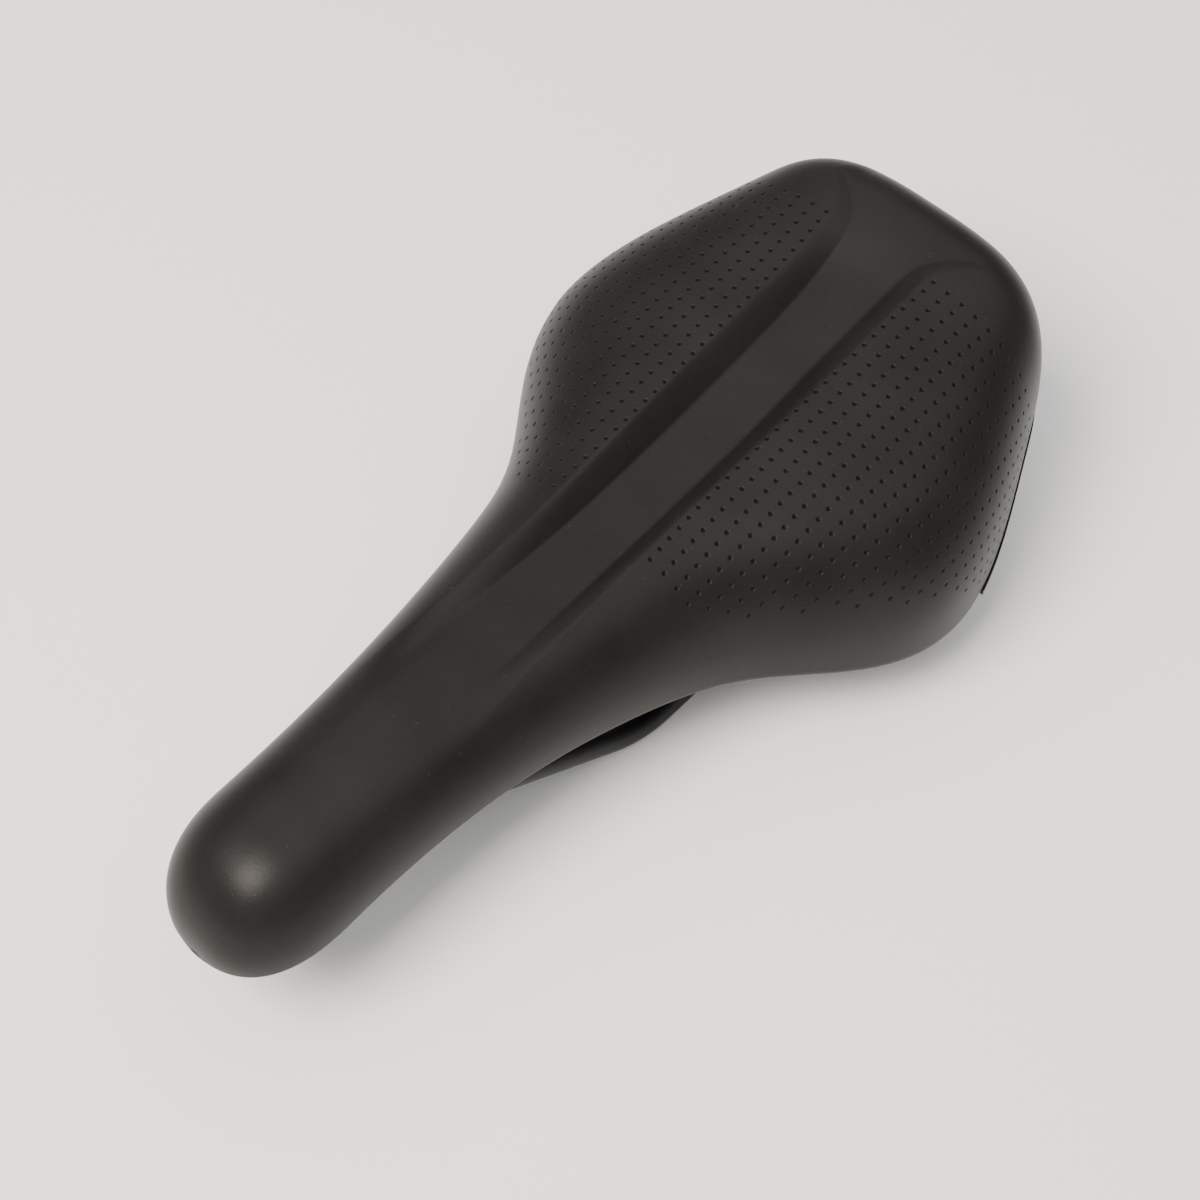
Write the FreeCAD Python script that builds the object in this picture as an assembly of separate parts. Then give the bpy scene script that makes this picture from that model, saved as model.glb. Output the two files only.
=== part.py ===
import FreeCAD, Part
import math
import os

os.makedirs("parts", exist_ok=True)
vec = FreeCAD.Vector

# Bicycle saddle, in millimetres: +X points to the nose, +Y to the rider's left, +Z up.
# The origin is midway between the two rails, at the middle of the straight length that
# the seat post grips, at the height of the rails' axes.

# Overall size
saddle_length = 275.0
rear_overhang = 107.0                 # from the origin back to the rear edge
rear_x = -rear_overhang

# Plan outline: half-width at fractions of the length, counted from the rear edge
outline_stations = [0.0, 0.10, 0.20, 0.28, 0.36, 0.46, 0.56, 0.70, 0.85, 1.0]
outline_half_widths = [39.4, 52.7, 65.4, 69.8, 63.2, 43.3, 32.8, 25.6, 22.6, 23.3]
# Side view: height of the crown line and of the skirt's lower edge above the rail axes
side_stations = [0.0, 0.30, 0.63, 1.0]
crown_heights = [84.0, 70.5, 61.6, 57.5]
edge_heights = [43.5, 20.0, 33.5, 31.0]
# How far the ends round off, and how squarely
nose_round = 30.0
nose_power = 2.4
rear_round = 26.0
rear_power = 3.0
nose_drop = 26.0
nose_drop_power = 2.2
rear_drop = 22.0
rear_drop_power = 2.4
# Cross-section: a squared-off arch at the rear, rounder towards the nose
section_stations = [0.0, 0.30, 0.50, 1.0]
section_powers = [3.2, 3.2, 2.5, 2.3]
# Relief channel down the middle
channel_stations = [0.0, 0.04, 0.14, 0.30, 0.48, 0.62, 0.72]
channel_depths = [0.0, 0.6, 4.0, 5.2, 5.0, 2.4, 0.0]
channel_half_floor = 8.5
channel_wall = 8.5

# Layers, from the outside in
skin = 1.2                            # cover
layer_gap = 0.1                       # glue line between neighbouring layers
foam_fit = 0.5                        # between the foam and the shell that it sits on
hem_width = 9.0                       # cover turned under the shell
foam_side = 3.7
foam_top_rear = 16.0
foam_top_nose = 10.0
shell_wall = 3.0
rib_height = 3.5
rib_root = 0.8                        # how near the ribs come to the shell's outer face

# Rails: round bars, pinned at the nose and spread at the rear
rail_radius = 3.5
rail_half_spacing = 22.0
grip_rear_x = -43.5                   # corners at the ends of the grip, before they are rounded
grip_front_x = 39.0
rail_rear_end = (-80.0, 30.5, 36.0)
rail_nose_bend = (109.0, 8.4, 31.0)
rail_nose_end = (135.0, 7.8, 32.6)
rear_bend_radius = 30.0
front_bend_radius = 40.0

# Nose bracket
bracket_rear_x = 103.0
bracket_front_x = 149.0
bracket_bottom = 26.0
bracket_top = 38.5
bracket_half_width = 13.0
bracket_half_tip = 8.0
nose_screw_x = [111.0, 143.0]

# Rear sockets
socket_outer_radius = 8.6
socket_length = 24.0
socket_overrun = 4.0                  # past the end of the rail
bush_outer_radius = 5.2
bush_length = 19.0
flange_bottom = 48.5
flange_top = 52.0
rear_screw_spots = [(-58.0, 32.0), (-78.0, 16.5)]

# Fasteners
nose_screw_radius = 2.5
rear_screw_radius = 2.0
head_ratio = 1.75                     # head radius over shank radius
insert_wall = 1.2
insert_length = 5.0
boss_wall = 2.4

# Plastic guards below the wings' outer edges
guard_height = 1.6
guard_width = 4.0
guard_proud = 0.5                     # beyond the cover's edge
guard_rear_x = -98.0
guard_front_x = -44.0

# Staples that hold the hem to the shell
staple_bar = 9.0
staple_wire = 0.7
staple_leg = 5.0
staple_inset = 7.2
staples_per_side = 13
first_staple = 0.12                   # as fractions of the length
last_staple = 0.87

section_count = 30
arch_points = 45


def natural_spline(stations, values):
    """A smooth curve through the values, with no bending at its two ends."""
    count = len(stations)
    steps = [stations[i + 1] - stations[i] for i in range(count - 1)]
    bend = [0.0] * count
    ratio = [0.0] * count
    load = [0.0] * count
    for i in range(1, count - 1):
        slope_change = (values[i + 1] - values[i]) / steps[i] - (values[i] - values[i - 1]) / steps[i - 1]
        pivot = 2.0 * (steps[i - 1] + steps[i]) - steps[i - 1] * ratio[i - 1]
        ratio[i] = steps[i] / pivot
        load[i] = (6.0 * slope_change - steps[i - 1] * load[i - 1]) / pivot
    for i in range(count - 2, 0, -1):
        bend[i] = load[i] - ratio[i] * bend[i + 1]

    def curve(u):
        i = 0
        while i < count - 2 and u > stations[i + 1]:
            i += 1
        a = (stations[i + 1] - u) / steps[i]
        b = 1.0 - a
        cubic = (a ** 3 - a) * bend[i] + (b ** 3 - b) * bend[i + 1]
        return a * values[i] + b * values[i + 1] + cubic * steps[i] ** 2 / 6.0

    return curve


def straight_between(stations, values):
    """A broken line through the values, level outside them."""
    def line(u):
        if u <= stations[0]:
            return values[0]
        for i in range(len(stations) - 1):
            if u <= stations[i + 1]:
                part = (u - stations[i]) / (stations[i + 1] - stations[i])
                return values[i] + part * (values[i + 1] - values[i])
        return values[-1]
    return line


outline = natural_spline(outline_stations, outline_half_widths)
crown = natural_spline(side_stations, crown_heights)
edge = natural_spline(side_stations, edge_heights)
section_power = straight_between(section_stations, section_powers)
channel_depth = straight_between(channel_stations, channel_depths)
foam_top = straight_between([0.45, 0.75], [foam_top_rear, foam_top_nose])


def rounding(reach, length, power):
    """Falls from 1 to nearly 0 as reach goes from 0 to length past the start of a rounded end."""
    part = min(max(reach / length, 0.0), 0.9993)
    return (1.0 - part ** power) ** (1.0 / power)


def width_factor(u):
    x = u * saddle_length
    nose = rounding(x - saddle_length + nose_round, nose_round, nose_power)
    return nose * rounding(rear_round - x, rear_round, rear_power)


def height_factor(u):
    x = u * saddle_length
    nose = rounding(x - saddle_length + nose_drop, nose_drop, nose_drop_power)
    return nose * rounding(rear_drop - x, rear_drop, rear_drop_power)


def place_x(u, end_inset):
    return rear_x + end_inset + u * (saddle_length - 2.0 * end_inset)


def station_of(x):
    return (x - rear_x) / saddle_length


def channel_drop(u, y):
    """How far the relief channel lowers the top at y from the middle."""
    part = min(max((abs(y) - channel_half_floor) / channel_wall, 0.0), 1.0)
    return channel_depth(u) * (1.0 - part * part * (3.0 - 2.0 * part))


def arch_section(u, side, top, lift, leg, with_channel):
    """One closed cross-section: an arch over a flat base, with legs below it if leg is over zero."""
    x = place_x(u, side)
    v = station_of(x)
    half = (outline(v) - side) * width_factor(u)
    base = edge(v) + lift
    rise = (crown(v) - top(v) - base) * height_factor(u)
    power = section_power(v)
    points = []
    for i in range(arch_points):
        angle = math.pi * i / (arch_points - 1)
        across = math.cos(angle)
        upward = math.sin(angle)
        reach = (abs(across) ** power + abs(upward) ** power) ** (-1.0 / power)
        y = half * reach * across
        z = base + rise * reach * upward
        if with_channel:
            z -= channel_drop(v, y) * height_factor(u) * upward
        points.append(vec(x, y, z))
    arch = Part.BSplineCurve()
    arch.interpolate(Points=points, Parameters=[i / (arch_points - 1.0) for i in range(arch_points)])
    corners = [points[-1], points[0]]
    if leg > 0:
        corners = [points[-1], vec(x, -half, base - leg), vec(x, half, base - leg), points[0]]
    edges = [arch.toShape()]
    for start, end in zip(corners, corners[1:]):
        edges.append(Part.LineSegment(start, end).toShape())
    return Part.Wire(edges)


def slab_section(u, side, low, high):
    """One closed rectangle below the saddle's outline, between two heights over the skirt's edge."""
    x = place_x(u, side)
    half = (outline(station_of(x)) - side) * width_factor(u)
    base = edge(station_of(x))
    corners = [(half, low), (half, high), (-half, high), (-half, low), (half, low)]
    return Part.makePolygon([vec(x, y, base + z) for y, z in corners])


def loft_along(section, *sizes):
    stations = [(1.0 - math.cos(math.pi * k / section_count)) / 2.0 for k in range(section_count + 1)]
    return Part.makeLoft([section(u, *sizes) for u in stations], True, False)


def block(x_range, y_range, z_range):
    size = [high - low for low, high in (x_range, y_range, z_range)]
    return Part.makeBox(size[0], size[1], size[2], vec(x_range[0], y_range[0], z_range[0]))


def upright(radius, bottom, top, spot):
    return Part.makeCylinder(radius, top - bottom, vec(spot[0], spot[1], bottom))


def mirrored(shape):
    """The rider's right-hand copy of a left-hand piece."""
    return shape.mirror(vec(0, 0, 0), vec(0, 1, 0))


def rounded_path(corners, radii):
    """A wire of straight runs with a tangent arc at each inner corner."""
    edges = []
    start = vec(*corners[0])
    for before, corner, after, radius in zip(corners, corners[1:], corners[2:], radii):
        here = vec(*corner)
        back = (vec(*before) - here).normalize()
        onward = (vec(*after) - here).normalize()
        half_turn = (math.pi - back.getAngle(onward)) / 2.0
        trim = radius * math.tan(half_turn)
        first = here + back * trim
        last = here + onward * trim
        centre = here + (back + onward).normalize() * (radius / math.cos(half_turn))
        middle = centre + (here - centre).normalize() * radius
        edges.append(Part.LineSegment(start, first).toShape())
        edges.append(Part.Arc(first, middle, last).toShape())
        start = last
    edges.append(Part.LineSegment(start, vec(*corners[-1])).toShape())
    return Part.Wire(edges)


def solid_of(shape):
    """The shape as plain solids, without the compound that a cut can leave round one solid."""
    solids = shape.Solids
    return solids[0] if len(solids) == 1 else Part.makeCompound(solids)


def export(name, shape):
    shape = solid_of(shape.removeSplitter())
    box = shape.BoundBox
    size = (box.XLength, box.YLength, box.ZLength)
    print(name, "solids", len(shape.Solids), "valid", shape.isValid(), "volume %.0f" % shape.Volume,
          "size %.1f x %.1f x %.1f" % size, "lowest %.1f" % box.ZMin)
    shape.exportStep("parts/" + name + ".step")


def shell_outer_top(v):
    return skin + foam_top(v)


def shell_inner_top(v):
    return skin + foam_top(v) + shell_wall


hem_lift = skin + layer_gap
open_lift = hem_lift - 2.0            # tools that open a layer from below start lower than its base
shell_side = skin + layer_gap + foam_side
cavity_side = shell_side + shell_wall

# The volumes that the layers are cut from
outer_volume = loft_along(arch_section, 0.0, lambda v: 0.0, 0.0, 0.0, True)
skin_volume = loft_along(arch_section, skin, lambda v: skin, skin, 0.0, True)
foam_volume = loft_along(arch_section, hem_lift, lambda v: hem_lift, hem_lift, 0.0, True)
shell_volume = loft_along(arch_section, shell_side, shell_outer_top, hem_lift, 0.0, False)
shell_swell = loft_along(
    arch_section, shell_side - foam_fit, lambda v: shell_outer_top(v) - foam_fit, open_lift, 10.0, False)
cavity_volume = loft_along(arch_section, cavity_side, shell_inner_top, open_lift, 40.0, False)
print("volumes made")

# Rails
rail_corners = [
    rail_rear_end,
    (grip_rear_x, rail_half_spacing, 0.0),
    (grip_front_x, rail_half_spacing, 0.0),
    rail_nose_bend,
    rail_nose_end,
]
rail_path = rounded_path(rail_corners, [rear_bend_radius, front_bend_radius, rear_bend_radius])
rail_start = vec(*rail_rear_end)
rail_forward = (vec(*rail_corners[1]) - rail_start).normalize()
rail_ring = Part.Wire(Part.Circle(rail_start, rail_forward, rail_radius).toShape())
rail_left = rail_path.makePipeShell([rail_ring], True, True)
rail_length = rail_path.Length
print("rail length %.1f, volume over section times length %.4f"
      % (rail_length, rail_left.Volume / (math.pi * rail_radius ** 2 * rail_length)))
grip = [e for e in rail_path.Edges if abs(e.BoundBox.ZLength) < 0.001][0]
print("straight grip from %.2f to %.2f" % (grip.BoundBox.XMin, grip.BoundBox.XMax))


def insert_boss(spot, bottom, shank):
    """A boss on the shell's underside round one threaded insert, cut to the hollow it stands in."""
    radius = shank + insert_wall + boss_wall
    return upright(radius, bottom, bottom + 30.0, spot)


def insert_hole(spot, bottom, shank):
    return upright(shank + insert_wall, bottom - 1.0, bottom + insert_length, spot)


def threaded_insert(spot, bottom, shank):
    outer = upright(shank + insert_wall - 0.02, bottom, bottom + insert_length - 0.1, spot)
    return outer.cut(upright(shank + 0.02, bottom - 1.0, bottom + insert_length + 1.0, spot))


def pan_screw(spot, seat, tip, shank):
    """A round-headed screw from below, with a six-sided socket for its key."""
    head_radius = shank * head_ratio
    head_height = shank * 1.1
    head = upright(head_radius, seat - head_height, seat, spot)
    low_rim = [e for e in head.Edges if e.BoundBox.ZMax < seat - head_height + 0.01 and e.Closed]
    head = head.makeFillet(shank * 0.5, low_rim)
    key_radius = shank * 0.62
    ring = []
    for k in range(7):
        turn = math.pi * k / 3
        key_x = spot[0] + key_radius * math.cos(turn)
        key_y = spot[1] + key_radius * math.sin(turn)
        ring.append(vec(key_x, key_y, seat - head_height - 0.5))
    key = Part.Face(Part.makePolygon(ring)).extrude(vec(0, 0, head_height * 0.6 + 0.5))
    return head.fuse(upright(shank, seat - 0.1, tip, spot)).cut(key)


nose_spots = [(x, 0.0) for x in nose_screw_x]
rear_spots = [(x, side * y) for side in (1, -1) for x, y in rear_screw_spots]

# Base shell: a moulded dish with stiffening ribs and screw bosses on its underside
shell_solid = shell_volume.cut(cavity_volume)
rib_parts = []
for y in (-9.0, 9.0):
    rib_parts.append(block((-96.0, 96.0), (y - 1.0, y + 1.0), (0.0, 90.0)))
for x in (-46.0, -18.0, 52.0, 78.0):
    rib_parts.append(block((x - 1.0, x + 1.0), (-80.0, 80.0), (0.0, 90.0)))
rib_hollow = loft_along(
    arch_section, cavity_side + rib_height, lambda v: shell_inner_top(v) + rib_height, open_lift, 60.0, False)
ribs = rib_parts[0]
for rib in rib_parts[1:]:
    ribs = ribs.fuse(rib)
ribs = ribs.cut(rib_hollow)
bosses = [insert_boss(spot, bracket_top, nose_screw_radius) for spot in nose_spots]
bosses += [insert_boss(spot, flange_top, rear_screw_radius) for spot in rear_spots]
for boss in bosses:
    ribs = ribs.fuse(boss)
shell_core = loft_along(
    arch_section, shell_side + rib_root, lambda v: shell_outer_top(v) + rib_root,
    hem_lift + rib_root, 0.0, False)
base_shell = shell_solid.fuse(ribs.common(shell_core))
for spot in nose_spots:
    base_shell = base_shell.cut(insert_hole(spot, bracket_top, nose_screw_radius))
for spot in rear_spots:
    base_shell = base_shell.cut(insert_hole(spot, flange_top, rear_screw_radius))
print("shell made")

# Nose bracket: one moulded block that holds the front ends of both rails
bracket_plan = [
    vec(bracket_rear_x, bracket_half_width, bracket_bottom),
    vec(bracket_front_x - 11.0, bracket_half_width, bracket_bottom),
    vec(bracket_front_x, bracket_half_tip, bracket_bottom),
    vec(bracket_front_x, -bracket_half_tip, bracket_bottom),
    vec(bracket_front_x - 11.0, -bracket_half_width, bracket_bottom),
    vec(bracket_rear_x, -bracket_half_width, bracket_bottom),
]
bracket_face = Part.Face(Part.makePolygon(bracket_plan + bracket_plan[:1]))
nose_bracket = bracket_face.extrude(vec(0, 0, bracket_top - 0.02 - bracket_bottom))
corner_edges = [e for e in nose_bracket.Edges if e.BoundBox.ZLength > 5.0]
nose_bracket = nose_bracket.makeFillet(2.0, corner_edges)
low_edges = [e for e in nose_bracket.Edges if e.BoundBox.ZMax < bracket_bottom + 0.1]
nose_bracket = nose_bracket.makeChamfer(1.2, low_edges)
nose_bracket = nose_bracket.cut(rail_left).cut(mirrored(rail_left))
for spot in nose_spots:
    nose_bracket = nose_bracket.cut(upright(nose_screw_radius + 0.2, 0.0, 60.0, spot))

# Rear sockets: a round housing on each rail's rear end, on a flange screwed up to the shell
rail_back = rail_forward * -1.0
socket_mouth = rail_start + rail_forward * (socket_length - socket_overrun)
housing = Part.makeCylinder(socket_outer_radius, socket_length, socket_mouth, rail_back)
pillar = block((-88.0, -67.0), (23.0, 36.0), (36.0, flange_top - 0.02))
pillar = pillar.makeFillet(4.0, [e for e in pillar.Edges if e.BoundBox.ZLength > 10.0])
housing_end = rail_start + rail_back * socket_overrun
behind_socket = Part.makeCylinder(socket_outer_radius + 8.0, 30.0, housing_end, rail_back)
pillar = pillar.cut(behind_socket)
flange_plan = [
    (-88.0, 22.0),
    (-83.0, 11.0),
    (-72.0, 11.0),
    (-51.5, 27.0),
    (-52.5, 38.0),
    (-72.0, 38.5),
    (-88.0, 34.0),
]
flange_ring = [vec(x, y, flange_bottom) for x, y in flange_plan + flange_plan[:1]]
flange = Part.Face(Part.makePolygon(flange_ring)).extrude(vec(0, 0, flange_top - 0.02 - flange_bottom))
flange = flange.makeFillet(3.0, [e for e in flange.Edges if e.BoundBox.ZLength > 3.0])
rear_socket = housing.fuse(pillar).fuse(flange)
socket_room = loft_along(
    arch_section, cavity_side + foam_fit, lambda v: shell_inner_top(v) + foam_fit, open_lift, 60.0, False)
rear_socket = rear_socket.common(socket_room)
bore_radius = bush_outer_radius + 0.02
bore = Part.makeCylinder(bore_radius, socket_length + 30.0, socket_mouth + rail_forward * 10.0, rail_back)
rear_socket = rear_socket.cut(bore)
for spot in rear_screw_spots:
    rear_socket = rear_socket.cut(upright(rear_screw_radius + 0.2, 0.0, 60.0, spot))
    rear_socket = rear_socket.cut(upright(rear_screw_radius * head_ratio + 0.3, 20.0, flange_bottom, spot))

# Rubber bush between each rail's rear end and its socket, and the cap that shuts the socket
bush_start = socket_mouth + rail_back * 1.0
bush = Part.makeCylinder(bush_outer_radius, bush_length, bush_start, rail_back)
bush_bore = Part.makeCylinder(rail_radius + 0.02, bush_length + 2.0, bush_start + rail_forward, rail_back)
bush = bush.cut(bush_bore)
cap_start = rail_start + rail_back * 0.4
cap_depth = socket_overrun - 0.4
cap = Part.makeCylinder(bush_outer_radius - 0.02, cap_depth, cap_start, rail_back)
cap_lid = Part.makeCylinder(socket_outer_radius - 1.2, 1.4, cap_start + rail_back * cap_depth, rail_back)
cap = cap.fuse(cap_lid)
print("brackets made")

# Fasteners
nose_screw_tip = bracket_top + insert_length - 0.5
rear_screw_tip = flange_top + insert_length - 0.5
nose_screws = [pan_screw(s, bracket_bottom, nose_screw_tip, nose_screw_radius) for s in nose_spots]
nose_inserts = [threaded_insert(s, bracket_top + 0.02, nose_screw_radius) for s in nose_spots]
rear_screws = [pan_screw(s, flange_bottom, rear_screw_tip, rear_screw_radius) for s in rear_spots]
rear_inserts = [threaded_insert(s, flange_top + 0.02, rear_screw_radius) for s in rear_spots]


def staple(u, side):
    """One staple under the hem: a bar along the outline with two legs up into the shell."""
    step = 0.004
    ends = []
    for v in (u - step, u + step):
        half = (outline(v) - staple_inset) * width_factor(v)
        ends.append(vec(place_x(v, 0.0), side * half, edge(v)))
    middle = (ends[0] + ends[1]) * 0.5
    along = (ends[1] - ends[0]).normalize()
    up = (vec(0, 0, 1) - along * along.z).normalize()
    across = up.cross(along)
    turn = FreeCAD.Matrix(along.x, across.x, up.x, middle.x, along.y, across.y, up.y, middle.y,
                          along.z, across.z, up.z, middle.z, 0, 0, 0, 1)
    reach = staple_bar / 2.0
    thick = staple_wire / 2.0
    bar = block((-reach, reach), (-thick, thick), (-staple_wire - 0.05, -0.05))
    legs = []
    for end in (-1, 1):
        leg_x = sorted([end * reach, end * (reach - staple_wire)])
        legs.append(block(leg_x, (-thick, thick), (-0.1, staple_leg)))
    legs_only = legs[0].fuse(legs[1])
    whole = bar.fuse(legs_only).removeSplitter()
    return whole.transformGeometry(turn), legs_only.transformGeometry(turn)


staples = []
staple_legs = []
for side in (1, -1):
    for k in range(staples_per_side):
        share = k / (staples_per_side - 1.0)
        whole, legs_only = staple(first_staple + share * (last_staple - first_staple), side)
        staples.append(whole)
        staple_legs.append(legs_only)
all_legs = Part.makeCompound(staple_legs)
base_shell = base_shell.cut(all_legs)

# Cover: a thin skin over everything, turned under the shell as a hem
hem_opening = loft_along(slab_section, hem_width, -5.0, 6.0)
cover = outer_volume.cut(skin_volume).cut(hem_opening).cut(all_legs)

# Foam with a soft gel pad under each sit bone
gel_pads = []
for side in (1, -1):
    pad = Part.makeSphere(1.0)
    squeeze = FreeCAD.Matrix()
    squeeze.scale(27.0, 14.0, 4.2)
    tilt = FreeCAD.Matrix()
    tilt.rotateX(math.radians(-side * 5.0))
    pad = pad.transformGeometry(squeeze).transformGeometry(tilt)
    pad.translate(vec(-46.0, side * 36.0, 63.0))
    gel_pads.append(pad)
foam = foam_volume.cut(shell_swell)
for pad in gel_pads:
    foam = foam.cut(pad)
for spot in rear_spots:
    foam = foam.cut(upright(rear_screw_radius * 2.0 + 0.6, flange_top, flange_top + insert_length + 0.6, spot))

# Guards: plastic strips along the wings' outer lower edges
guard_outer = loft_along(slab_section, -guard_proud, -guard_height, -0.05)
guard_inner = loft_along(slab_section, guard_width, -guard_height - 2.0, 2.0)
guard_ring = guard_outer.cut(guard_inner)
guard_left = guard_ring.common(block((guard_rear_x, guard_front_x), (5.0, 90.0), (0.0, 90.0)))

export("cover", cover)
export("foam_padding", foam)
export("gel_pad_left", gel_pads[0])
export("gel_pad_right", gel_pads[1])
export("base_shell", base_shell)
export("edge_guard_left", guard_left)
export("edge_guard_right", mirrored(guard_left))
export("rail_left", rail_left)
export("rail_right", mirrored(rail_left))
export("nose_bracket", nose_bracket)
export("nose_bracket_screws", Part.makeCompound(nose_screws))
export("nose_threaded_inserts", Part.makeCompound(nose_inserts))
export("rear_socket_left", rear_socket)
export("rear_socket_right", mirrored(rear_socket))
export("rear_socket_screws", Part.makeCompound(rear_screws))
export("rear_threaded_inserts", Part.makeCompound(rear_inserts))
export("rail_bush_left", bush)
export("rail_bush_right", mirrored(bush))
export("socket_cap_left", cap)
export("socket_cap_right", mirrored(cap))
export("cover_staples", Part.makeCompound(staples))
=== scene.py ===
import math
import bmesh
import bpy
import numpy as np
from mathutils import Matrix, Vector
from mathutils.bvhtree import BVHTree


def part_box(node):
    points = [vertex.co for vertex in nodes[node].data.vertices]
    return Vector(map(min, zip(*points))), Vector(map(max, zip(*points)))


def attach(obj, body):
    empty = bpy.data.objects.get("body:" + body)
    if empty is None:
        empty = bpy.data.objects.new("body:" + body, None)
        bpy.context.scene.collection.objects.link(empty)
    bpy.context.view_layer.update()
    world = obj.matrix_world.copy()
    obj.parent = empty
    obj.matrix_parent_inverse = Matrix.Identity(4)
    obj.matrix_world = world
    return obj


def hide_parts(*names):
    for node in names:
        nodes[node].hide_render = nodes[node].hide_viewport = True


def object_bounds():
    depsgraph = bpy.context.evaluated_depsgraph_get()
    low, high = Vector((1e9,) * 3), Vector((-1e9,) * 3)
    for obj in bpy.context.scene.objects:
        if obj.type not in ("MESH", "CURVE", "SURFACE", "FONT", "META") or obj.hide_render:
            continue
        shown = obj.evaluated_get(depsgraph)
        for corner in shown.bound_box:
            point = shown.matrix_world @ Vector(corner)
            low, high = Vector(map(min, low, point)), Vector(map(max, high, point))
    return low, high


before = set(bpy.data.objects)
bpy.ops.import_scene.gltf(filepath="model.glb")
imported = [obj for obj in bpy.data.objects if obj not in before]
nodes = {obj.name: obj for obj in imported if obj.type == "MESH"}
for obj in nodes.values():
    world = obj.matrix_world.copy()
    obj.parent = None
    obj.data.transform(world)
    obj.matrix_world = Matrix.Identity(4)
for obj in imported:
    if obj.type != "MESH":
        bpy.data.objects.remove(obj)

cadLow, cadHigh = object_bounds()
mm = 0.001
print("frame loaded:", len(nodes), "nodes")


class Wire:
    # one wrapped socket, so that node maths reads as plain maths
    def __init__(self, tree, socket=None):
        self.tree = tree
        self.socket = socket

    def put(self, kind, settings=None, inputs=None, out=0):
        node = self.tree.nodes.new(kind)
        for name, value in (settings or {}).items():
            if name == "stops":
                ramp = node.color_ramp
                while len(ramp.elements) < len(value):
                    ramp.elements.new(0.5)
                for element, (place, colour) in zip(ramp.elements, value):
                    element.position = place
                    element.color = (*colour, 1.0)
            else:
                setattr(node, name, value)
        for name, value in (inputs or {}).items():
            if isinstance(value, Wire):
                self.tree.links.new(value.socket, node.inputs[name])
            else:
                node.inputs[name].default_value = value
        return Wire(self.tree, node.outputs[out] if len(node.outputs) else None)

    def maths(self, operation, *values):
        return self.put("ShaderNodeMath", {"operation": operation}, dict(enumerate(values)))

    def __add__(self, other):
        return self.maths("ADD", self, other)

    def __radd__(self, other):
        return self.maths("ADD", other, self)

    def __sub__(self, other):
        return self.maths("SUBTRACT", self, other)

    def __rsub__(self, other):
        return self.maths("SUBTRACT", other, self)

    def __mul__(self, other):
        return self.maths("MULTIPLY", self, other)

    def __rmul__(self, other):
        return self.maths("MULTIPLY", other, self)

    def __truediv__(self, other):
        return self.maths("DIVIDE", self, other)

    def __pow__(self, other):
        return self.maths("POWER", self, other)

    def least(self, other):
        return self.maths("MINIMUM", self, other)

    def nearest(self):
        return self.maths("ROUND", self)

    def size(self):
        return self.maths("ABSOLUTE", self)

    def fade(self, low, high):
        # 0 below low, 1 above high, smooth between
        return self.put("ShaderNodeMapRange", {"interpolation_type": "SMOOTHSTEP"},
                        {"Value": self, "From Min": low, "From Max": high})

    def noise(self, place, scale, detail=3.0, roughness=0.55):
        return self.put("ShaderNodeTexNoise", {}, {"Vector": place, "Scale": scale, "Detail": detail,
                                                   "Roughness": roughness})

    def cells(self, place, scale, feature="F1"):
        return self.put("ShaderNodeTexVoronoi", {"feature": feature}, {"Vector": place, "Scale": scale})

    def stretched(self, place, scale):
        return self.put("ShaderNodeMapping", {}, {"Vector": place, "Scale": scale})

    def blend(self, factor, first, second):
        return self.put("ShaderNodeMix", {"data_type": "RGBA"}, {0: factor, 6: first, 7: second}, out=2)

    def bump(self, height, depth, below=None):
        inputs = {"Height": height, "Distance": depth, "Strength": 1.0}
        if below is not None:
            inputs["Normal"] = below
        return self.put("ShaderNodeBump", {}, inputs)


def openMaterial(name):
    material = bpy.data.materials.new(name)
    material.use_nodes = True
    tree = material.node_tree
    tree.nodes.clear()
    wire = Wire(tree)
    place = wire.put("ShaderNodeTexCoord", {}, {}, out=3)
    return material, wire, place


def closeMaterial(material, wire, sockets):
    shader = wire.put("ShaderNodeBsdfPrincipled", {}, sockets)
    wire.put("ShaderNodeOutputMaterial", {}, {"Surface": shader})
    return material


def rgb(colour, gain=1.0):
    return (colour[0] * gain, colour[1] * gain, colour[2] * gain, 1.0)


def splineThrough(stations, values):
    stations = np.array(stations, float)
    values = np.array(values, float)
    count = len(stations)
    gap = np.diff(stations)
    matrix = np.eye(count)
    right = np.zeros(count)
    for i in range(1, count - 1):
        matrix[i, i - 1:i + 2] = gap[i - 1], 2 * (gap[i - 1] + gap[i]), gap[i]
        right[i] = 6 * ((values[i + 1] - values[i]) / gap[i] - (values[i] - values[i - 1]) / gap[i - 1])
    bend = np.linalg.solve(matrix, right)

    def valueAt(u):
        i = np.clip(np.searchsorted(stations, u) - 1, 0, count - 2)
        a = (stations[i + 1] - u) / gap[i]
        b = 1 - a
        straight = a * values[i] + b * values[i + 1]
        return straight + ((a**3 - a) * bend[i] + (b**3 - b) * bend[i + 1]) * gap[i]**2 / 6
    return valueAt


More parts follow.
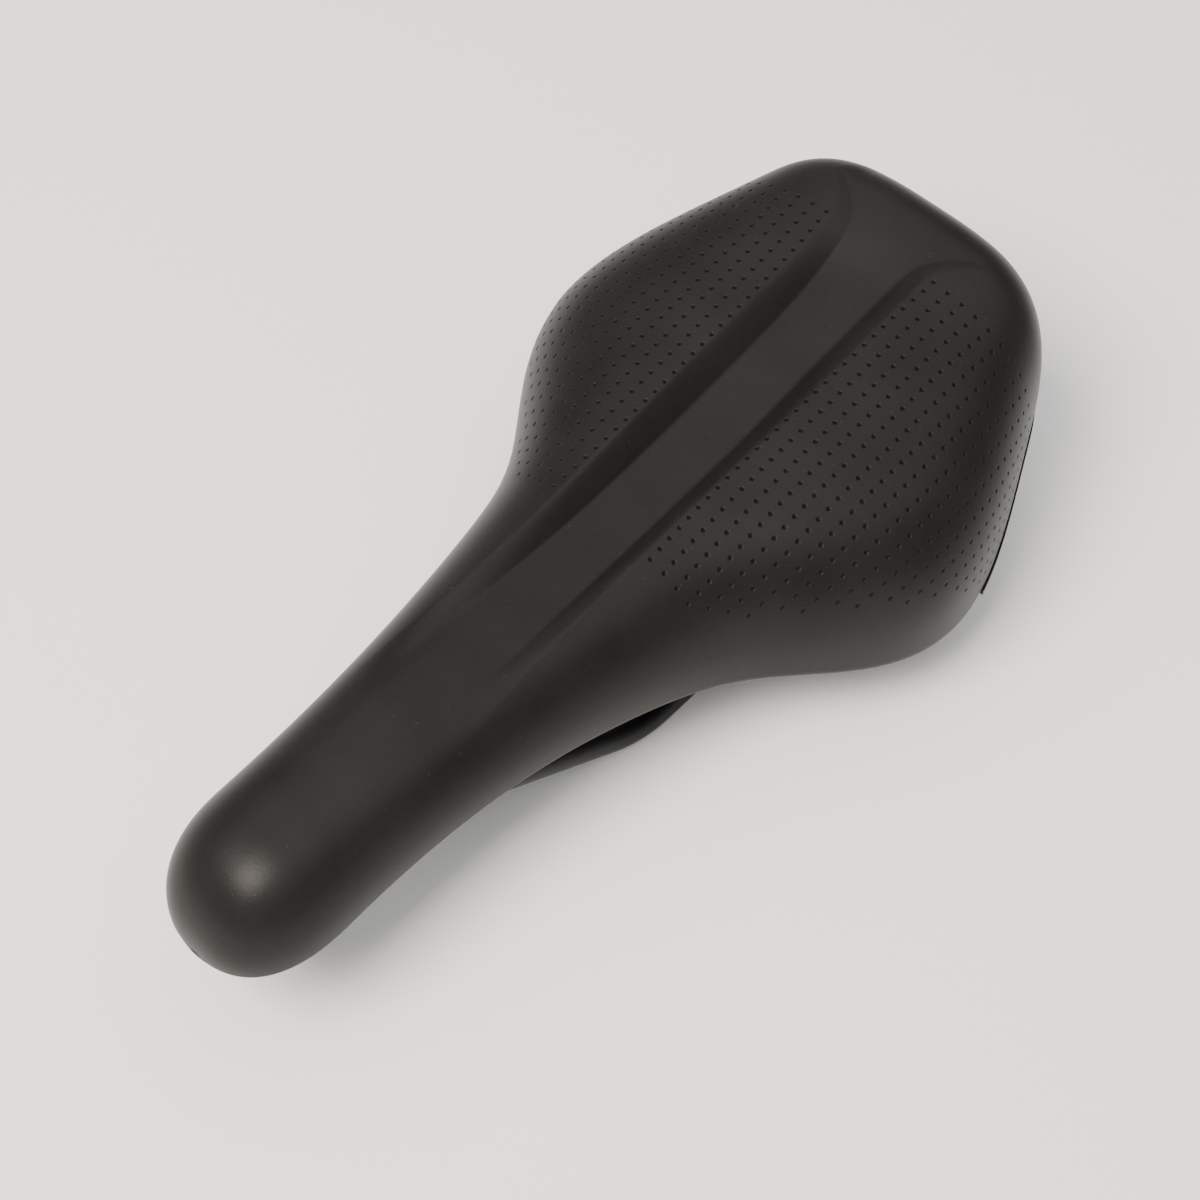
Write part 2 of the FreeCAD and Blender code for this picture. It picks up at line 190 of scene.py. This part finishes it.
# The padded top, in millimetres from its rear tip; stations are fractions of the length
top = {
    "length": 275.0,
    "outline": splineThrough([0, .10, .20, .28, .36, .46, .56, .70, .85, 1],
                             [39.4, 52.7, 65.4, 69.8, 63.2, 43.3, 32.8, 25.6, 22.6, 23.3]),
    "crown": splineThrough([0, .30, .63, 1], [84.0, 70.5, 61.6, 57.5]),
    "edge": splineThrough([0, .30, .63, 1], [43.5, 20.0, 33.5, 31.0]),
    "channelDepth": splineThrough([0, .04, .075, .11, .15, .21, .32, .48, .58, .66, .72, .80, 1],
                                  [0, 0.3, 0.8, 2.0, 4.2, 5.6, 6.7, 6.2, 4.4, 2.2, 0.7, 0, 0]),
    "channelFloor": splineThrough([0, .035, .06, .08, .10, .13, .17, .30, .50, .65, .80, 1],
                                  [38, 32, 25, 17.5, 12.2, 9.8, 8.8, 8.3, 8.2, 9.2, 11, 12]),
    "channelWall": splineThrough([0, .08, .15, .4, .6, .8, 1], [4, 4.8, 6.2, 6.4, 5.8, 7, 8]),
    "cells": (8, 12, 70, 7),     # channel floor, channel wall, wing and skirt, turned-under hem
    "wallCurve": 1.2,
    "rows": 256,
    "fineSteps": 700,
    "fineRows": 4001,
    "widthEnds": ((30, 2.4), (26, 3.0)),      # nose and rear: stretch rounded off, power
    "heightEnds": ((26, 2.2), (22, 2.4)),
    "squareness": ([.30, .50, 1], [3.2, 2.5, 2.3]),
    "lowerCorner": 1.8,
    "hemWidth": 9.0,
    "skin": 1.2,
}


def rounding(reach, length, power):
    q = np.clip(reach / length, 0, 1)
    return max(1 - q**power, 0) ** (1 / power)


def endFactor(x, length, ends):
    (nose, nosePower), (rear, rearPower) = ends
    return rounding(x - length + nose, nose, nosePower) * rounding(rear - x, rear, rearPower)


def halfSection(u):
    # from the middle of the channel out over the wing, down the skirt and in along the hem
    length, tuck, steps = top["length"], top["hemWidth"], top["fineSteps"]
    floorCells, wallCells, wingCells, hemCells = top["cells"]
    x = u * length
    wide = top["outline"](u) * endFactor(x, length, top["widthEnds"])
    height = endFactor(x, length, top["heightEnds"])
    base = top["edge"](u)
    rise = (top["crown"](u) - base) * height
    power = np.interp(u, *top["squareness"])
    corner = min(top["lowerCorner"], .4 * wide, .4 * rise)
    turn = np.linspace(math.pi / 2, 0, steps)
    reach = (np.cos(turn)**power + np.sin(turn)**power) ** (-1 / power)
    y = wide * reach * np.cos(turn)
    z = base + corner + (rise - corner) * reach * np.sin(turn)
    depth = top["channelDepth"](u) * height
    limit = .45 * wide + .001
    floor = min(top["channelFloor"](u), limit)
    wall = min(top["channelWall"](u), limit)
    z = z - depth * (1 - np.clip((y - floor) / wall, 0, 1))**top["wallCurve"] * np.sin(turn)**.5
    cornerTurn = np.linspace(0, math.pi / 2, 12)[1:]
    y = np.r_[y, wide - corner + corner * np.cos(cornerTurn)]
    z = np.r_[z, base + corner - corner * np.sin(cornerTurn)]
    run = np.r_[0, np.cumsum(np.hypot(np.diff(y), np.diff(z)))]
    floorRun = np.interp(floor, y[:steps], run[:steps])
    wallRun = np.interp(floor + wall, y[:steps], run[:steps])
    marks = np.r_[np.linspace(0, floorRun, floorCells + 1)[:-1],
                  np.linspace(floorRun, wallRun, wallCells + 1)[:-1],
                  np.linspace(wallRun, run[-1], wingCells + 1)]
    y, z = np.interp(marks, run, y), np.interp(marks, run, z)
    inner = 0.0
    if tuck < x < length - tuck:
        inner = (top["outline"](u) - tuck) * endFactor(x - tuck, length - 2 * tuck, top["widthEnds"])
    inner = min(inner, y[-1])
    hem = np.linspace(y[-1], inner, hemCells + 1)[1:]
    along = np.r_[marks, marks[-1] + y[-1] - hem]
    return np.r_[y, hem], np.r_[z, np.full(hemCells, z[-1])], along


def stationRows(count):
    length, edge, crown = top["length"], top["edge"], top["crown"]
    fine = (1 - np.cos(np.linspace(0, math.pi, top["fineRows"]))) / 2
    x = fine * length
    z = [edge(u) + (crown(u) - edge(u)) * endFactor(u * length, length, top["heightEnds"]) for u in fine]
    run = np.r_[0, np.cumsum(np.hypot(np.diff(x), np.diff(z)))]
    return np.interp(np.linspace(0, run[-1], count + 1), run, fine)


def buildCover():
    rowPlaces = stationRows(top["rows"])
    sections = [halfSection(u) for u in rowPlaces]
    half = sum(top["cells"])
    bm = bmesh.new()
    bmesh.ops.create_grid(bm, x_segments=top["rows"], y_segments=2 * half, size=1.0)
    skinMap = bm.loops.layers.uv.new("skinMap")
    flat = {}
    for vert in bm.verts:
        i = round((vert.co.x + 1) / 2 * top["rows"])
        j = round((vert.co.y + 1) * half) - half
        side = 1 if j >= 0 else -1
        y, z, along = sections[i]
        x = cadLow.x + rowPlaces[i] * top["length"] * mm
        vert.co = (x, side * y[abs(j)] * mm, z[abs(j)] * mm)
        flat[vert] = (x * 10, side * along[abs(j)] * mm * 10)
    for face in bm.faces:
        for loop in face.loops:
            loop[skinMap].uv = flat[loop.vert]
    bmesh.ops.remove_doubles(bm, verts=bm.verts, dist=2e-6)
    bmesh.ops.dissolve_degenerate(bm, edges=bm.edges, dist=1e-7)
    bmesh.ops.recalc_face_normals(bm, faces=bm.faces)
    highest = max(bm.verts, key=lambda v: v.co.z)
    if highest.normal.z < 0:
        bmesh.ops.reverse_faces(bm, faces=bm.faces)
    return bm


def asObject(bm, name, material):
    mesh = bpy.data.meshes.new(name)
    bm.to_mesh(mesh)
    bm.free()
    mesh.materials.append(material)
    mesh.polygons.foreach_set("use_smooth", [True] * len(mesh.polygons))
    piece = bpy.data.objects.new(name, mesh)
    bpy.context.scene.collection.objects.link(piece)
    return piece


skinLook = {
    "deep": (0.0090, 0.0081, 0.0077),
    "worn": (0.0140, 0.0127, 0.0121),
    # dots: painted shade, a darker colour standing in for the shade inside each punched dimple
    "dotShade": (0.0030, 0.0027, 0.0025),
    "roughness": 0.38,
    "dotPitch": (3.62, 4.77),    # along the saddle and across it, millimetres
    "dotStart": (0.1, 3.9),
    "dotRadius": 0.56,
    "dotDepth": 0.00042,         # metres, like the other bump depths
    "napDepth": 0.00001,
    "pebbleDepth": 0.000014,
    "specular": 0.14,
    "lint": (0.06, 0.058, 0.055),
    # dotted panel, millimetres: its inner, outer, rear and front edges, then slanted ones as
    # a place along the saddle, a slope and the reach across it there
    "panel": (16.5, 96.0, -77.0, 31.8),
    "panelSlants": ((31.0, 1.67, 29.5), (20.0, 0.85, 46.5)),
}


def skinMaterial():
    look = skinLook
    material, wire, place = openMaterial("coverSkin")
    chart = wire.put("ShaderNodeUVMap", {"uv_map": "skinMap"})
    # the chart holds metres times ten, so times a hundred gives millimetres
    along = wire.put("ShaderNodeSeparateXYZ", {}, {0: chart}, out=0) * 100
    across = wire.put("ShaderNodeSeparateXYZ", {}, {0: chart}, out=1).size() * 100
    stepX, stepY = look["dotPitch"]
    startX, startY = look["dotStart"]
    column = ((along - startX) / stepX).nearest() * stepX + startX
    row = ((across - startY) / stepY).nearest() * stepY + startY
    offset = ((along - column) ** 2.0 + (across - row) ** 2.0) ** 0.5
    # the panel is taken at each dot's centre, so that its edges cut no dot
    inner, outer, rear, front = look["panel"]
    inside = (row - inner).least(outer - row).least(column - rear).least(front - column)
    for begin, slope, reach in look["panelSlants"]:
        inside = inside.least((begin - column) * slope + reach - row)
    panel = inside.fade(-0.05, 0.05)
    # dot footprint: where the painted dimple shade goes; the skin is also a little rougher there
    dotShade = (1 - offset.fade(look["dotRadius"] - 0.16, look["dotRadius"] + 0.12)) * panel
    cup = (1 - offset.fade(0.0, look["dotRadius"] + 0.2)) * panel
    mottle = wire.noise(place, 55.0, 4.0)
    cloud = wire.noise(place, 14.0, 2.0)
    nap = wire.noise(place, 2600.0, 2.0, 0.7)
    pebble = wire.cells(place, 1500.0)
    lint = wire.noise(place, 900.0, 1.0).fade(0.74, 0.80)
    tone = (mottle * 0.6 + cloud * 0.6 + nap * 0.35).fade(0.45, 1.1)
    colour = wire.blend(tone, rgb(look["deep"]), rgb(look["worn"]))
    colour = wire.blend(lint * 0.25, colour, rgb(look["lint"]))
    # painted shade: each dot is coloured darker, standing in for the shade that falls inside the dimple
    colour = wire.blend(dotShade, colour, rgb(look["dotShade"]))
    rough = look["roughness"] + mottle * 0.06 + nap * 0.08 - 0.07 + dotShade * 0.3
    soft = wire.bump(nap, look["napDepth"])
    soft = wire.bump(pebble, look["pebbleDepth"], soft)
    soft = wire.bump(1 - cup, look["dotDepth"], soft)
    return closeMaterial(material, wire, {
        "Base Color": colour, "Roughness": rough, "Normal": soft,
        "Specular IOR Level": look["specular"]})


cover = asObject(buildCover(), "coverSkin", skinMaterial())
thick = cover.modifiers.new("skin", "SOLIDIFY")
thick.thickness = top["skin"] * mm
thick.offset = -1.0
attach(cover, "root")
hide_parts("cover")
print("cover made:", len(cover.data.polygons), "faces")


# Hidden padding: moulded foam, and a gel pad under each sit bone
foamLook = {"deep": (0.055, 0.055, 0.057), "light": (0.11, 0.11, 0.112), "voxel": 0.0022,
            "shrink": 0.0003, "gap": 0.0017, "insideHeight": 0.045}


def foamMaterial():
    material, wire, place = openMaterial("mouldedFoam")
    pores = wire.cells(place, 1400.0)
    cloud = wire.noise(place, 90.0, 4.0)
    tone = (pores * 0.5 + cloud * 0.7).fade(0.2, 1.0)
    colour = wire.blend(tone, rgb(foamLook["deep"]), rgb(foamLook["light"]))
    soft = wire.bump(pores, 0.0002)
    soft = wire.bump(cloud, 0.0004, soft)
    return closeMaterial(material, wire, {"Base Color": colour, "Roughness": 0.88 + cloud * 0.08,
                                          "Normal": soft, "Specular IOR Level": 0.25})


gelLook = {"deep": (0.06, 0.12, 0.20), "light": (0.16, 0.30, 0.42), "bubble": (0.4, 0.55, 0.62),
           "rings": 28, "spokes": 56, "powers": (2.6, 2.2, 2.5), "flatness": 0.94}


def gelMaterial():
    material, wire, place = openMaterial("softGel")
    swirl = wire.noise(place, 60.0, 3.0)
    bubbles = wire.cells(place, 420.0).fade(0.0, 0.22)
    colour = wire.blend(swirl.fade(0.3, 0.7), rgb(gelLook["deep"]), rgb(gelLook["light"]))
    colour = wire.blend((1 - bubbles) * 0.35, colour, rgb(gelLook["bubble"]))
    soft = wire.bump(swirl, 0.0003)
    return closeMaterial(material, wire, {"Base Color": colour, "Roughness": 0.22 + swirl * 0.12,
                                          "Normal": soft, "Subsurface Weight": 0.25,
                                          "Subsurface Radius": (0.004, 0.006, 0.008)})


def buildFoam():
    bm = bmesh.new()
    bm.from_mesh(nodes["foam_padding"].data)
    bmesh.ops.remove_doubles(bm, verts=bm.verts, dist=1e-5)
    bmesh.ops.recalc_face_normals(bm, faces=bm.faces)
    foam = asObject(bm, "foamBody", foamMaterial())
    remesh = foam.modifiers.new("even", "REMESH")
    remesh.mode = "VOXEL"
    remesh.voxel_size = foamLook["voxel"]
    remesh.use_smooth_shade = True
    relax = foam.modifiers.new("relax", "SMOOTH")
    relax.iterations = 2
    relax.factor = 0.4
    sink = foam.modifiers.new("sink", "DISPLACE")
    sink.mid_level = 0.0
    sink.strength = -foamLook["shrink"]
    baked = bpy.data.meshes.new_from_object(foam.evaluated_get(bpy.context.evaluated_depsgraph_get()))
    foam.modifiers.clear()
    foam.data = baked
    roof = bmesh.new()
    roof.from_mesh(cover.data)
    skinTree = BVHTree.FromBMesh(roof)
    for vert in foam.data.vertices:
        # the padding stays under the skin, also in the channel
        below = Vector((vert.co.x, vert.co.y, foamLook["insideHeight"]))
        hit = skinTree.ray_cast(below, Vector((0, 0, 1)))[0]
        if hit is not None:
            vert.co.z = min(vert.co.z, hit.z - foamLook["gap"])
    roof.free()
    foam.data.materials.clear()
    foam.data.materials.append(bpy.data.materials["mouldedFoam"])
    return foam


def buildGel(side):
    low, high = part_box("gel_pad_" + side)
    middle, size = (low + high) / 2, (high - low) / 2
    flatPower, tallPower, rootPower = gelLook["powers"]
    bm = bmesh.new()
    bmesh.ops.create_uvsphere(bm, u_segments=gelLook["spokes"], v_segments=gelLook["rings"], radius=1.0)
    for vert in bm.verts:
        p = vert.co
        fill = (abs(p.x)**flatPower + abs(p.y)**flatPower + abs(p.z)**tallPower) ** (1 / rootPower)
        q = p / max(fill, 1.0)
        vert.co = middle + Vector((q.x * size.x, q.y * size.y, q.z * size.z * gelLook["flatness"]))
    return asObject(bm, "gelPad_" + side, gelSkin)


foam = buildFoam()
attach(foam, "root")
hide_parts("foam_padding")
gelSkin = gelMaterial()
for side in ("left", "right"):
    pad = buildGel(side)
    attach(pad, "root")
    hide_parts("gel_pad_" + side)
print("padding made:", len(foam.data.polygons), "foam faces")


def nylonMaterial(name, look):
    # moulded glass-filled nylon: flow clouds, fine spark texture, pale rub marks on raised grain
    material, wire, place = openMaterial(name)
    flow = wire.noise(wire.stretched(place, (20.0, 70.0, 70.0)), 1.0, 4.0)
    spark = wire.noise(place, 1900.0, 2.0, 0.7)
    fibre = wire.noise(wire.stretched(place, (350.0, 1700.0, 1700.0)), 1.0, 1.0).fade(0.62, 0.72)
    rub = wire.noise(place, 240.0, 5.0, 0.65).fade(0.60, 0.72)
    colour = wire.blend(flow.fade(0.3, 0.7), rgb(look["deep"]), rgb(look["light"]))
    colour = wire.blend(fibre * 0.3 + rub * 0.25, colour, rgb(look["scuff"]))
    rough = look["roughness"] + flow * 0.12 + rub * 0.08 - 0.08
    soft = wire.bump(spark, 0.00004)
    soft = wire.bump(flow, 0.0001, soft)
    return closeMaterial(material, wire, {"Base Color": colour, "Roughness": rough, "Normal": soft,
                                          "Specular IOR Level": 0.4})


def coatedMaterial(name, look):
    # baked black coat: orange peel, hairline scratches along the rail and rubbed bare specks
    material, wire, place = openMaterial(name)
    peel = wire.noise(place, 700.0, 2.0)
    cloud = wire.noise(place, 40.0, 3.0)
    hair = wire.noise(wire.stretched(place, (60.0, 2600.0, 2600.0)), 1.0, 2.0).fade(0.66, 0.74)
    chip = (wire.noise(place, 620.0, 2.0, 0.6) * wire.noise(place, 60.0, 2.0)).fade(0.40, 0.45)
    colour = wire.blend(cloud.fade(0.3, 0.7), rgb(look["deep"]), rgb(look["light"]))
    colour = wire.blend(hair * 0.2, colour, rgb(look["scuff"]))
    colour = wire.blend(chip, colour, rgb(look["bare"]))
    rough = look["roughness"] + cloud * 0.1 + hair * 0.1 - 0.05
    soft = wire.bump(peel, 0.00004)
    soft = wire.bump(1 - chip, 0.00005, soft)
    return closeMaterial(material, wire, {"Base Color": colour, "Roughness": rough, "Metallic": chip * 0.9,
                                          "Normal": soft, "Specular IOR Level": 0.22})


def metalMaterial(name, look):
    material, wire, place = openMaterial(name)
    cloud = wire.noise(place, 130.0, 4.0)
    turned = wire.noise(wire.stretched(place, (500.0, 500.0, 3200.0)), 1.0, 2.0)
    stain = wire.noise(place, 420.0, 3.0).fade(0.55, 0.75)
    colour = wire.blend(cloud.fade(0.3, 0.7), rgb(look["deep"]), rgb(look["light"]))
    colour = wire.blend(stain * 0.5, colour, rgb(look["stain"]))
    rough = look["roughness"] + turned * 0.12 + stain * 0.15
    soft = wire.bump(turned, 0.00003)
    return closeMaterial(material, wire, {"Base Color": colour, "Roughness": rough,
                                          "Metallic": 1.0 - stain * 0.3, "Normal": soft})


def rubberMaterial(name, look):
    material, wire, place = openMaterial(name)
    bloom = wire.noise(place, 110.0, 4.0)
    grain = wire.cells(place, 1600.0)
    colour = wire.blend(bloom.fade(0.35, 0.75), rgb(look["deep"]), rgb(look["light"]))
    soft = wire.bump(grain, 0.00004)
    rough = look["roughness"] + bloom * 0.12
    return closeMaterial(material, wire, {"Base Color": colour, "Roughness": rough, "Normal": soft,
                                          "Specular IOR Level": 0.3})


shellFinish = nylonMaterial("shellNylon", {"deep": (0.010, 0.010, 0.0105), "light": (0.019, 0.019, 0.0195),
                                           "scuff": (0.07, 0.07, 0.07), "roughness": 0.56})
bracketFinish = nylonMaterial("bracketNylon", {"deep": (0.013, 0.013, 0.0135), "light": (0.024, 0.024, 0.025),
                                               "scuff": (0.09, 0.09, 0.09), "roughness": 0.48})
guardFinish = nylonMaterial("guardPlastic", {"deep": (0.006, 0.006, 0.0063), "light": (0.011, 0.011, 0.0115),
                                             "scuff": (0.06, 0.06, 0.06), "roughness": 0.30})
railFinish = coatedMaterial("railCoat", {"deep": (0.006, 0.006, 0.0065), "light": (0.012, 0.012, 0.0125),
                                         "scuff": (0.03, 0.03, 0.031), "bare": (0.10, 0.10, 0.105),
                                         "roughness": 0.40})
screwFinish = metalMaterial("zincPlate", {"deep": (0.36, 0.37, 0.38), "light": (0.56, 0.56, 0.57),
                                          "stain": (0.22, 0.21, 0.18), "roughness": 0.28})
brassFinish = metalMaterial("turnedBrass", {"deep": (0.58, 0.42, 0.17), "light": (0.76, 0.60, 0.29),
                                            "stain": (0.30, 0.20, 0.09), "roughness": 0.24})
stapleFinish = metalMaterial("stapleWire", {"deep": (0.42, 0.42, 0.43), "light": (0.62, 0.62, 0.63),
                                            "stain": (0.25, 0.22, 0.18), "roughness": 0.26})
bushFinish = rubberMaterial("bushRubber", {"deep": (0.012, 0.012, 0.012), "light": (0.032, 0.031, 0.030),
                                           "roughness": 0.78})

finishes = {
    "base_shell": shellFinish,
    "edge_guard_left": guardFinish, "edge_guard_right": guardFinish,
    "socket_cap_left": guardFinish, "socket_cap_right": guardFinish,
    "rail_left": railFinish, "rail_right": railFinish,
    "nose_bracket": bracketFinish, "rear_socket_left": bracketFinish, "rear_socket_right": bracketFinish,
    "nose_bracket_screws": screwFinish, "rear_socket_screws": screwFinish,
    "nose_threaded_inserts": brassFinish, "rear_threaded_inserts": brassFinish,
    "rail_bush_left": bushFinish, "rail_bush_right": bushFinish,
    "cover_staples": stapleFinish,
}
for name, material in finishes.items():
    mesh = nodes[name].data
    if not mesh.materials:
        mesh.materials.append(material)
    for slot in nodes[name].material_slots:
        slot.material = material
print("finishes set:", len(finishes))


floorLook = {"size": 3.6, "cells": 72, "flat": 1.7, "sweep": 0.45, "tone": (0.90, 0.90, 0.895),
             "glowTone": (1.0, 1.0, 0.995), "glow": 0.08}


def floorMaterial():
    material, wire, place = openMaterial("paleFloor")
    cloud = wire.noise(place, 3.0, 3.0)
    colour = wire.blend(cloud, rgb(floorLook["tone"]), rgb(floorLook["tone"], 0.985))
    return closeMaterial(material, wire, {"Base Color": colour, "Roughness": 0.9, "Specular IOR Level": 0.1,
                                          "Emission Color": rgb(floorLook["glowTone"]),
                                          "Emission Strength": floorLook["glow"]})


bm = bmesh.new()
bmesh.ops.create_grid(bm, x_segments=floorLook["cells"], y_segments=floorLook["cells"],
                      size=floorLook["size"])
for vert in bm.verts:
    # flat in the middle, swept up into a pale backdrop far from the saddle
    rise = max(vert.co.length - floorLook["flat"], 0.0)
    vert.co.z = cadLow.z + floorLook["sweep"] * rise**2
floor = asObject(bm, "floor", floorMaterial())

lamps = [
    # name, place, size across and deep, power, colour, aimed at
    ("keySoft", (0.78, -0.06, 1.30), (0.70, 0.70), 38.0, (1.0, 0.93, 0.85), (0.10, 0.0, 0.05)),
    ("ceilingSoft", (-0.15, -0.15, 1.50), (2.6, 2.6), 32.0, (1.0, 0.99, 0.98), (-0.15, -0.15, 0.0)),
]
for name, place, size, power, colour, target in lamps:
    lamp = bpy.data.lights.new(name, "AREA")
    lamp.shape = "RECTANGLE"
    lamp.size, lamp.size_y = size
    lamp.energy = power
    lamp.color = colour
    holder = bpy.data.objects.new(name, lamp)
    holder.location = place
    holder.rotation_euler = (Vector(target) - Vector(place)).to_track_quat("-Z", "Y").to_euler()
    bpy.context.scene.collection.objects.link(holder)

room = {"tone": (1.0, 1.0, 1.0), "strength": 0.16}
world = bpy.data.worlds.new("paleRoom")
world.use_nodes = True
background = world.node_tree.nodes["Background"]
background.inputs["Color"].default_value = rgb(room["tone"])
background.inputs["Strength"].default_value = room["strength"]
bpy.context.scene.world = world

# Camera: degrees, metres and lens millimetres; it is moved aside and above without turning
shot = {"azimuth": 133.15, "elevation": 56.44, "away": 0.59723, "lens": 71.03,
        "target": Vector((0.030, 0.0, 0.045)), "aside": -0.00016, "above": -0.00873,
        "sensor": 36.0, "nearest": 0.01}
a, e = math.radians(shot["azimuth"]), math.radians(shot["elevation"])
rightward = Vector((math.cos(a), math.sin(a), 0))
backward = Vector((math.sin(a) * math.cos(e), -math.cos(a) * math.cos(e), math.sin(e)))
upward = backward.cross(rightward)
lens = bpy.data.cameras.new("camera")
lens.lens = shot["lens"]
lens.sensor_width = shot["sensor"]
lens.clip_start = shot["nearest"]
camera = bpy.data.objects.new("camera", lens)
shift = upward * shot["above"] - rightward * shot["aside"]
camera.location = shot["target"] + shift + backward * shot["away"]
camera.rotation_euler = backward.to_track_quat("Z", "Y").to_euler()
bpy.context.scene.collection.objects.link(camera)
bpy.context.scene.camera = camera
print("stage set")
